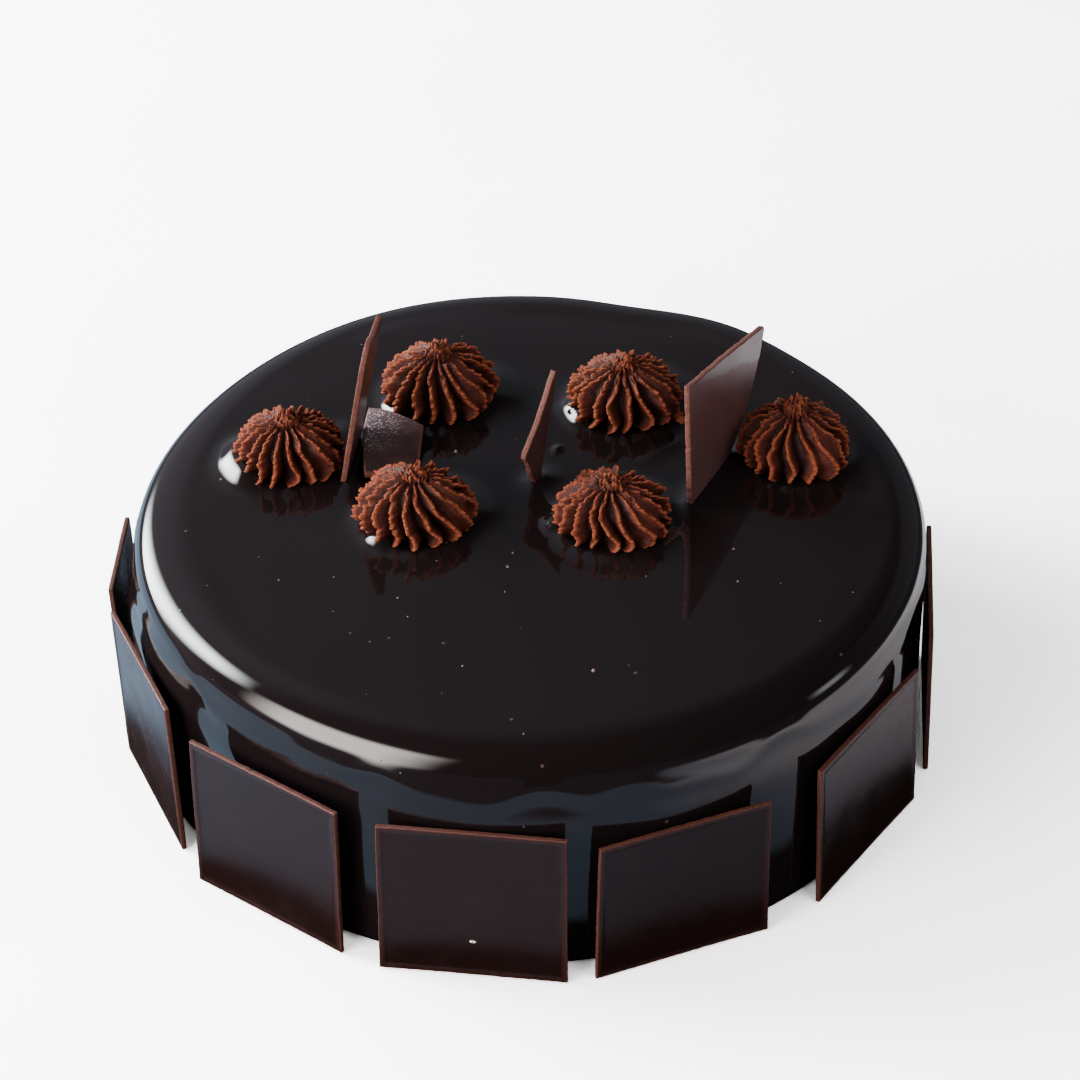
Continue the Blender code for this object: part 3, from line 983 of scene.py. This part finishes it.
def make_bent_piece():
    """A square grid on the arch and one under it, joined by a rough wall."""
    back_left, back_right, front_right, front_left = (np.array(c) for c in BENT_CORNERS)
    size = BENT_CELLS + 1
    over, under = np.zeros((size, size, 3)), np.zeros((size, size, 3))
    edge_value, bloom = np.zeros((size, size)), np.zeros((size, size))
    for i in range(size):
        share = i / BENT_CELLS
        left = back_left + (front_left - back_left) * share
        left = left - np.array([BENT_LEFT_BULGE * 4 * share * (1 - share), 0])
        right = back_right + (front_right - back_right) * share
        for j in range(size):
            point = left + (right - left) * j / BENT_CELLS
            height, offset = bent_height(*point)
            border = min(i, j, BENT_CELLS - i, BENT_CELLS - j) / BENT_CELLS * BENT_WIDTH
            patch = noise.noise(Vector((*(point / FROST_PATCH), 2.0)))
            frosted = float(smooth_step(*FROST_BORDER, offset + FROST_STRAY * patch))
            grain = noise.noise(Vector((*(point / FROST_GRAIN), 8.0)))
            rounding = BENT_CORNER * max(0.0, 1 - border / 0.5) ** 2
            relief = FROST_RELIEF * grain * frosted
            level = CAKE_HEIGHT / MM + height
            over[i, j] = (*point, level + SHARD_THICKNESS - rounding + relief)
            under[i, j] = (*point, level + rounding)
            edge_value[i, j] = 1 - smooth_step(0.1, 0.8, border)
            bloom[i, j] = frosted

    def wall_jitter(n, k):
        return np.array([
            0.12 * noise.noise(Vector((n * 0.5, k * 1.9 + 5 * axis, 4))) for axis in range(3)
        ])

    points, faces, edge = sheet_grid(under, over, wall_jitter)
    edge[:2 * edge_value.size] = np.tile(edge_value.ravel(), 2)
    frost = np.zeros(len(points))
    frost[bloom.size:2 * bloom.size] = bloom.ravel()
    piece = make_piece(
        "bent_piece", points * MM, [f[::-1] for f in faces], bloom_material,
        {"edge": edge, "bloom": frost}, sharp=50,
    )
    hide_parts("top_bent_piece")


make_bent_piece()

# %% [markdown]
# ## The rosettes
#
# A closed star nozzle pushes out ganache in thin folded ridges that lean and close
# towards a peak. The ganache was stiff, so every ridge tore into a crumbly crest. A low
# mesh with a noise modifier would blur that. These are dense lofts: fine columns across
# each ridge give the sharp crest and the deep groove, and noise is added most where the
# crest is.


# %% Material: piped ganache
# The grooves' near black is painted shade, standing in for the shadow between the ridges
GROOVE_PAINTED_SHADE = (0.011, 0.0024, 0.0016, 1)
FLANK_BROWN = (0.044, 0.0088, 0.0052, 1)
TORN_BROWN = (0.150, 0.034, 0.0125, 1)


def make_ganache_material():
    """Painted shade, nearly black, in the grooves; brown on the flanks and orange where it
    tore.
    """
    material, tree, shader = new_material("piped_ganache")
    crest = point_value(tree, "crest")
    grain = place_group(tree, GRAIN, Size_mm=0.9, Detail=4.0)
    shade = calculate(tree, "ADD", crest, calculate(tree, "MULTIPLY", grain, 0.5))
    colour = mix_colours(tree, map_range(tree, shade, 0.25, 0.60), GROOVE_PAINTED_SHADE, FLANK_BROWN)
    colour = mix_colours(tree, map_range(tree, shade, 0.75, 1.25), colour, TORN_BROWN)
    rough = map_range(tree, crest, 0.2, 0.9, 0.6, 0.85)
    feed(tree, shader, {
        "Base Color": colour, "Roughness": rough, "IOR": CHOCOLATE_IOR,
        "Specular IOR Level": 0.18, "Normal": bump(tree, grain, 0.3, 0.7),
    })
    return material


ganache_material = make_ganache_material()

# %% The profile of a rosette
FLANGE_SHARE = 0.24
RIDGE_DEPTH = 4.64
UNDERCUT_DEGREES = 48
UNDER_ROWS = 14
DOME_ROWS = 62
CONE_ROWS = 24
COLUMNS_PER_RIDGE = 22
# How far the foot reaches down, into the collar of the glaze
SUNK = 0.9
# The peak is a crumbly cone: its radius, what is left of the ridges on it, the dip round
# it, and for each rosette how high the ridges rise as a share of its height
CONE_RADIUS = 4.4
CONE_RIDGES = 0.42
CONE_DIP = 0.9
RIDGE_TOP_SHARES = [0.90, 0.84, 0.95, 0.90, 0.92, 0.84]


def rosette_profile(radius, height, ridge_top):
    """Radius, level and ridge strength from the foot, out to the flange, up the dome and
    up the cone of the peak."""
    flange = FLANGE_SHARE * height
    levels = []
    for k in range(UNDER_ROWS):
        turn = math.radians(-UNDERCUT_DEGREES) * (1 - k / UNDER_ROWS)
        level = flange * (1 + math.sin(turn) / math.sin(math.radians(UNDERCUT_DEGREES)))
        levels.append((radius * math.cos(turn), level, 0.75 + 0.25 * k / UNDER_ROWS))
    last_turn = math.acos(CONE_RADIUS / radius)
    for k in range(DOME_ROWS):
        turn = last_turn * k / DOME_ROWS
        level = flange + (ridge_top * height - flange) * math.sin(turn) / math.sin(last_turn)
        levels.append((radius * math.cos(turn), level, math.cos(turn) ** 0.6))
    for k in range(CONE_ROWS):
        share = k / (CONE_ROWS - 1)
        dip = CONE_DIP * math.exp(-(((share - 0.12) / 0.16) ** 2))
        rise = ((1 - ridge_top) * height + SUNK) * math.sin(math.radians(90) * share)
        reach = CONE_RADIUS * (1 - 0.95 * share)
        strength = CONE_RIDGES * max(0.0, 1 - 3 * share)
        levels.append((reach, ridge_top * height - dip + rise, strength))
    return levels


# %% How the ridges tear and crumble
# Sideways wobble of a ridge as a share of its width and its length in millimetres, and
# how far a foot hooks round, from which share of the height down to which
WOBBLE = 0.42
WOBBLE_LENGTH = 5.5
HOOK_DEGREES = 11
HOOK_SHARES = (0.34, 0.04)
TEAR_DEPTH = 0.9
TEAR_SAG = 0.45
# The radius at which the peak begins to crumble and the one at which it is all crumbs
CRUMBLING = (6.2, 3.4)
# How far coarse and fine crumbs push the surface: everywhere, at a crest, on the peak
COARSE_CRUMBS = (0.10, 0.35, 1.5)
FINE_CRUMBS = (0.05, 0.28, 1.3)
COARSE_SIZE = 1.1
FINE_SIZE = 0.42
FINE_GROWTH_ON_PEAK = 0.13


def torn_edge(ridge, along, seed):
    """How deep a ridge's crest is torn at a place along it, in millimetres."""
    broad = noise.noise(Vector((ridge * 5.3, along / 1.5, seed * 2.9)))
    quick = noise.noise(Vector((ridge * 3.1, along / 0.62, seed)))
    return (max(-0.1, broad) * 2.2 + quick * 1.1) * TEAR_DEPTH


def crumb_push(noise_value, reaches, sharp, crumbly):
    """How far one size of crumb moves a place in or out, in millimetres."""
    plain, at_crest, on_peak = reaches
    return (plain + at_crest * sharp * (1 - crumbly) + on_peak * crumbly) * noise_value


def crest_value(sharp, lip, flat, crumbly, rough, fine):
    """How torn and pale a place is: most at the crests, and in grains on the peak. Low values
    get the painted shade of the grooves.
    """
    bright = max(sharp, 0.45 * lip) * (1 - 0.5 * crumbly)
    grainy = crumbly * (0.55 + 0.7 * rough + 0.9 * fine)
    return max(bright, grainy, 0.5 * flat)


# %% Build the six rosettes
# How much of a ridge's width stays full beside its crest, how fast it falls away there,
# and between which distances from the crest it stops being sharp, as shares of the width
LIP_SHARE = 0.07
LIP_FALL = 1.8
CREST_SHARES = (0.24, 0.04)
# How wide the flat side is, how much shallower its ridges are and how far it stands out
FLAT_SPREAD = 0.36
FLAT_SHALLOWER = 0.75
FLAT_RISE = 0.6


def make_rosette(number, x, y, radius, height, ridges, twist, tail):
    """Rings from the foot up to the peak, each one a star of sharp ridges."""
    rng = random.Random(number)
    twist, tail = math.radians(twist), math.radians(tail)
    reach = [1 + rng.uniform(-0.05, 0.04) for _ in range(ridges)]
    foot = Vector((x, y, CAKE_HEIGHT / MM + GLAZE_GAP - SUNK))
    levels = rosette_profile(radius, height, RIDGE_TOP_SHARES[number - 1])
    columns = ridges * COLUMNS_PER_RIDGE
    points, crest_values = [], []
    along = 0.0
    before = levels[0][:2]
    for level_radius, level_height, strength in levels:
        along += math.hypot(level_radius - before[0], level_height - before[1])
        before = (level_radius, level_height)
        top_share = level_height / height
        crumbly = float(smooth_step(*CRUMBLING, level_radius)) * float(top_share > 0.5)
        hook = math.radians(HOOK_DEGREES) * float(smooth_step(*HOOK_SHARES, top_share))
        for column in range(columns):
            ridge, share = divmod(column / COLUMNS_PER_RIDGE, 1.0)
            ridge = int(ridge)
            nearest = (ridge + (share >= 0.5)) % ridges
            swirl = twist * (1 - top_share) - hook
            wobble = WOBBLE * noise.noise(
                Vector((nearest * 4.7, along / WOBBLE_LENGTH, number * 1.9))
            )
            azimuth = 2 * math.pi * (ridge + share + wobble * (1 - crumbly)) / ridges + swirl
            away = math.remainder(azimuth - tail, 2 * math.pi)
            flat = math.exp(-((away / FLAT_SPREAD) ** 2))
            from_crest = abs(share if share < 0.5 else share - 1)
            down = min(1.0, max(0.0, from_crest - LIP_SHARE) / (0.5 - LIP_SHARE))
            lip = (1 - down) ** LIP_FALL
            own = reach[ridge] * (1 - share) + reach[(ridge + 1) % ridges] * share
            depth = RIDGE_DEPTH * strength * (1 - FLAT_SHALLOWER * flat)
            hollow = depth * (1 - lip)
            sharp = float(smooth_step(*CREST_SHARES, from_crest))
            tear = torn_edge(nearest, along, number) * sharp * (1 - crumbly)
            out = level_radius * own - hollow - tear + FLAT_RISE * flat * strength
            out = max(out, 0.2 * level_radius)
            place = outward(azimuth) * out + Vector((0, 0, level_height))
            rough = noise.noise(place / COARSE_SIZE + Vector((number, 0, 0)))
            fine_size = FINE_SIZE + FINE_GROWTH_ON_PEAK * crumbly
            fine = noise.noise(place / fine_size + Vector((0, number, 0)))
            push = crumb_push(rough, COARSE_CRUMBS, sharp, crumbly)
            push += crumb_push(fine, FINE_CRUMBS, sharp, crumbly)
            steep = math.cos(math.pi / 2 * min(1.0, top_share))
            place += (outward(azimuth) * steep + Vector((0, 0, 1 - 0.6 * steep))) * push
            place.z -= TEAR_SAG * tear
            points.append(foot + place)
            crest_values.append(crest_value(sharp, lip, flat, crumbly, rough, fine))
    points += [foot, foot + Vector((0, 0, height))]
    crest_values += [0.5, 0.8]
    piece = make_piece(
        f"piped_rosette_{number:02d}", np.array(points) * MM, loft_faces(len(levels), columns),
        ganache_material, {"crest": crest_values},
    )
    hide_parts(f"rosette_{number:02d}")


for number, row in enumerate(ROSETTES, 1):
    make_rosette(number, *row)

# %% [markdown]
# ## Crumbs
#
# A few crumbs of ganache and chocolate dropped on the glaze and one stuck to a tile. They
# are small, but they give the cake its scale. Each is a rough little lump, and all that
# lie on one thing are one mesh.


# %% Make lumps and scatter them
LUMP_ROUGHNESS = 0.55
LUMP_UNDERSIDE = -0.45


def lump(centre, size, seed):
    """Points and faces of a rough crumb, flattened a little where it lies."""
    bm = bmesh.new()
    bmesh.ops.create_icosphere(bm, subdivisions=2, radius=1.0)
    points = []
    for v in bm.verts:
        wobble = 1 + LUMP_ROUGHNESS * noise.noise(v.co * 1.7 + Vector((seed, 0, 0)))
        p = v.co * wobble * size
        level = max(p.z * 0.8, LUMP_UNDERSIDE * size)
        points.append((centre[0] + p.x, centre[1] + p.y, centre[2] + level))
    faces = [tuple(v.index for v in f.verts) for f in bm.faces]
    bm.free()
    return points, faces


def make_crumbs(name, crumbs, material, crest):
    """One mesh of lumps. Its crest value tells the material how torn or pale they are."""
    points, faces = [], []
    for seed, (x, y, z, size) in enumerate(crumbs):
        own_points, own_faces = lump((x, y, z), size, seed * 1.37)
        start = len(points)
        points += own_points
        faces += [tuple(start + v for v in f) for f in own_faces]
    values = {"crest": [crest] * len(points)}
    make_piece(name, np.array(points) * MM, faces, material, values)


# Torn ganache and dark crumbs on the glaze: x, y and size
GLAZE_CRUMBS = [
    (35.0, 46.4, 2.3), (37.0, 44.4, 2.5), (39.3, 42.2, 2.5), (41.3, 40.0, 2.1),
    (42.9, 38.0, 1.5), (41.0, 43.8, 1.6), (38.6, 46.6, 1.8), (37.8, 40.8, 1.4),
]
DARK_CRUMBS = [
    (-15.1, 44.5, 0.9), (-13.4, 45.6, 0.6), (-21.3, 25.2, 0.6), (15.3, -73.2, 0.6),
    (54.8, -36.7, 0.4), (54.5, -22.2, 0.35), (-68.5, -32.2, 0.3), (-18.8, -70.2, 0.35),
    (-36.3, -41.0, 0.35), (-33.5, -49.2, 0.25), (-6.9, -28.3, 0.5), (-5.5, -22.1, 0.35),
    (-3.1, -98.0, 0.3), (-26.1, -25.1, 0.3), (-43.3, -59.5, 0.3), (-7.7, -39.2, 0.25),
]
on_top = CAKE_HEIGHT / MM
torn_rows = [(x, y, on_top + 0.35 * size, size) for x, y, size in GLAZE_CRUMBS]
dark_rows = [(x, y, on_top + 0.1 * size, size) for x, y, size in DARK_CRUMBS]
make_crumbs("torn_ganache", torn_rows, ganache_material, 0.85)


# %% Material: chocolate crumb
CRUMB_BROWN = (0.045, 0.019, 0.015, 1)
CRUMB_GRAIN = (0.13, 0.075, 0.062, 1)
CRUMB_PALE = (0.60, 0.48, 0.45, 1)


def make_crumb_material():
    """A dull brown with a paler grain, or nearly white where the mesh says so."""
    material, tree, shader = new_material("chocolate_crumb")
    grain = place_group(tree, GRAIN, Size_mm=0.35, Detail=2.0)
    colour = mix_colours(tree, map_range(tree, grain, 0.35, 0.65), CRUMB_BROWN, CRUMB_GRAIN)
    colour = mix_colours(tree, point_value(tree, "crest"), colour, CRUMB_PALE)
    feed(tree, shader, {"Base Color": colour, "Roughness": 0.6})
    return material


crumb_material = make_crumb_material()
make_crumbs("crumbs_on_glaze", dark_rows, crumb_material, 0.0)

# %% One pale crumb that sticks to the fourth tile
# Low on the left half of its face, at the point of the mesh that is nearest to this place
STUCK_NEAR = np.array((-18.0, -119, 12)) * MM
tile_points = np.array([v.co for v in tiles[3].data.vertices])
stuck = tile_points[np.linalg.norm(tile_points - STUCK_NEAR, axis=1).argmin()]
x, y, z = stuck / MM
stuck_rows = [(x - 0.3, y, z, 0.5), (x + 0.4, y - 0.1, z - 0.1, 0.45)]
make_crumbs("crumb_on_tile", stuck_rows, crumb_material, 1.0)

# %% [markdown]
# ## Floor and light
#
# The cake stands on a plain pale floor. A mirror shows its surroundings, so the lights
# are laid out as the reflections ask: a tall window at the back left that draws the white
# band along the rim, a warm lamp low at the front left, a small glint at the right and a
# dim room elsewhere. A fill from the front right lights the ganache, and no mirror sees
# it. The floor is pale to the eye and dimmer to the mirror, which keeps the glaze deep.


# %% What each kind of ray finds on the floor
FLOOR_SIZE = 3.0
# A hair below the cake, so that the two never share a plane
FLOOR_LEVEL = -0.0004
FLOOR_EYE = [(2.50, 2.50, 2.50, 1), (2.60, 2.60, 2.60, 1)]
FLOOR_BOUNCE = (0.30, 0.30, 0.30, 1)
FLOOR_MIRROR = {
    "near": (0.010, 0.011, 0.013, 1),
    "ahead": (0.135, 0.195, 0.265, 1),
    "right": (0.95, 0.90, 0.95, 1),
    "left": (0.19, 0.27, 0.36, 1),
    "beyond": (0.035, 0.035, 0.04, 1),
}
# In metres from the middle of the cake: where the shade near the cake ends, where the lit
# floor ends and how much further it reaches on the left
NEAR_SHADE_RADIUS = 0.128
NEAR_SHADE_BLUR = 0.003
LIT_FLOOR_RADIUS = 0.25
LIT_FLOOR_BLUR = 0.06
LIT_FURTHER_LEFT = 0.09
# Between which X the floor turns from the front's colour to those of its two sides
LEFT_TURN = (-0.06, -0.20)
RIGHT_TURN = (0.08, 0.20)


def floor_in_mirrors(tree):
    """The floor's colour as the glaze and the tiles reflect it."""
    place = add_node(tree, "ShaderNodeTexCoord").outputs["Object"]
    away = add_node(tree, "ShaderNodeVectorMath", {0: place}, operation="LENGTH")
    away = away.outputs["Value"]
    far = map_range(
        tree, away, NEAR_SHADE_RADIUS - NEAR_SHADE_BLUR, NEAR_SHADE_RADIUS + NEAR_SHADE_BLUR
    )
    sideways = add_node(tree, "ShaderNodeSeparateXYZ", {0: place}).outputs["X"]
    to_left = map_range(tree, sideways, *LEFT_TURN)
    to_right = map_range(tree, sideways, *RIGHT_TURN)
    lit = mix_colours(tree, to_right, FLOOR_MIRROR["ahead"], FLOOR_MIRROR["right"])
    lit = mix_colours(tree, to_left, lit, FLOOR_MIRROR["left"])
    further = calculate(tree, "MULTIPLY", to_left, LIT_FURTHER_LEFT)
    reach = calculate(tree, "SUBTRACT", away, further)
    faded = map_range(tree, reach, LIT_FLOOR_RADIUS, LIT_FLOOR_RADIUS + LIT_FLOOR_BLUR)
    beyond = mix_colours(tree, faded, lit, FLOOR_MIRROR["beyond"])
    return mix_colours(tree, far, FLOOR_MIRROR["near"], beyond)


# %% Lay the floor
def make_floor():
    """A plain square that no check takes for a piece of the cake."""
    mesh = bpy.data.meshes.new("floor")
    half = FLOOR_SIZE / 2
    corners = [(-half, -half), (half, -half), (half, half), (-half, half)]
    mesh.from_pydata([(x, y, FLOOR_LEVEL) for x, y in corners], [], [(0, 1, 2, 3)])
    material, tree, shader = new_material("floor")
    grain = place_group(tree, GRAIN, Size_mm=60.0, Detail=2.0)
    eye = mix_colours(tree, map_range(tree, grain, 0.3, 0.7), *FLOOR_EYE)
    mirror = floor_in_mirrors(tree)
    path = add_node(tree, "ShaderNodeLightPath")
    bounced = mix_colours(tree, path.outputs["Is Diffuse Ray"], mirror, FLOOR_BOUNCE)
    colour = mix_colours(tree, path.outputs["Is Camera Ray"], bounced, eye)
    feed(tree, shader, {"Base Color": colour, "Roughness": 0.9, "Specular IOR Level": 0.0})
    mesh.materials.append(material)
    floor = bpy.data.objects.new("floor", mesh)
    bpy.context.scene.collection.objects.link(floor)


make_floor()


# %% Lights
def direction(azimuth, elevation):
    """Unit vector by azimuth from the back (+Y), positive to the right, and elevation."""
    a, e = math.radians(azimuth), math.radians(elevation)
    return Vector((math.sin(a) * math.cos(e), math.cos(a) * math.cos(e), math.sin(e)))


AIM = Vector((0, 0, 0.05))


def fade_edges(data, soft_sides, soft_ends):
    """Let a panel's glow fade out over these shares of its width and height."""
    data.use_nodes = True
    tree = data.node_tree
    spot = add_node(tree, "ShaderNodeNewGeometry").outputs["Parametric"]
    split = add_node(tree, "ShaderNodeSeparateXYZ", {0: spot})
    fades = []
    for axis, soft in (("X", soft_sides), ("Y", soft_ends)):
        rise = map_range(tree, split.outputs[axis], 0.0, soft)
        fall = map_range(tree, split.outputs[axis], 1.0 - soft, 1.0, 1.0, 0.0)
        fades.append(calculate(tree, "MULTIPLY", rise, fall))
    glow = calculate(tree, "MULTIPLY", *fades)
    feed(tree, tree.nodes["Emission"], {"Strength": glow})


def add_panel(name, azimuth, elevation, distance, width, height, roll, radiance, colour,
              soft_sides=0.0, soft_ends=0.0, mirrored=True):
    """A rectangular light that faces the cake, in metres and degrees."""
    data = bpy.data.lights.new(name, "AREA")
    data.shape = "RECTANGLE"
    data.size, data.size_y = width, height
    data.energy = 4 * width * height * radiance
    data.color = colour
    if soft_sides and soft_ends:
        fade_edges(data, soft_sides, soft_ends)
    lamp = bpy.data.objects.new(name, data)
    lamp.visible_glossy = mirrored
    lamp.location = AIM + direction(azimuth, elevation) * distance
    face = (AIM - lamp.location).to_track_quat("-Z", "Y").to_matrix().to_4x4()
    lamp.matrix_world = (
        Matrix.Translation(lamp.location) @ face @ Matrix.Rotation(math.radians(roll), 4, "Z")
    )
    bpy.context.scene.collection.objects.link(lamp)
    print(f"light {name}: {data.energy:.1f} W")


# Name, azimuth, elevation, distance, width, height, roll, radiance, colour, soft edges
add_panel("window", -64, 18, 1.6, 1.05, 2.10, -44, 42, (0.93, 0.97, 1.0), 0.46, 0.28)
add_panel("warm_lamp", -128, 18, 1.5, 1.60, 1.15, 0, 16.0, (1.0, 0.92, 0.89), 0.35, 0.25)
add_panel("right_glint", 100, 6, 1.7, 0.5, 0.5, 0, 2.6, (0.95, 0.97, 1.0), 0.4, 0.4)
add_panel("front_right_fill", 128, 38, 1.6, 1.2, 1.2, 0, 2.6, (1.0, 0.98, 0.97), mirrored=False)


# %% The room round the cake
ROOM_PALE = (0.62, 0.62, 0.63, 1)
ROOM_DIM_MIRROR = (0.028, 0.028, 0.034, 1)
ROOM_BACK_MIRROR = (0.42, 0.44, 0.51, 1)
LOW_GLOW = 0.32


def make_room():
    """Pale for soft light, but dim in mirrors save for the back and the back left."""
    world = bpy.data.worlds.new("room")
    world.use_nodes = True
    tree = world.node_tree
    for node in list(tree.nodes):
        tree.nodes.remove(node)
    place = add_node(tree, "ShaderNodeTexCoord").outputs["Generated"]
    split = add_node(tree, "ShaderNodeSeparateXYZ", {0: place})
    to_left = map_range(tree, split.outputs["X"], 0.30, -0.45)
    to_back = map_range(tree, split.outputs["Y"], -0.2, 0.6)
    low = map_range(tree, split.outputs["Z"], 0.61, 0.48, 0.0, LOW_GLOW)
    glow = calculate(tree, "MULTIPLY", calculate(tree, "ADD", to_left, low), to_back)
    mirror = mix_colours(tree, glow, ROOM_DIM_MIRROR, ROOM_BACK_MIRROR)
    path = add_node(tree, "ShaderNodeLightPath")
    colour = mix_colours(tree, path.outputs["Is Glossy Ray"], ROOM_PALE, mirror)
    background = add_node(tree, "ShaderNodeBackground", {"Color": colour, "Strength": 1.0})
    add_node(tree, "ShaderNodeOutputWorld", {"Surface": background.outputs[0]})
    bpy.context.scene.world = world


make_room()
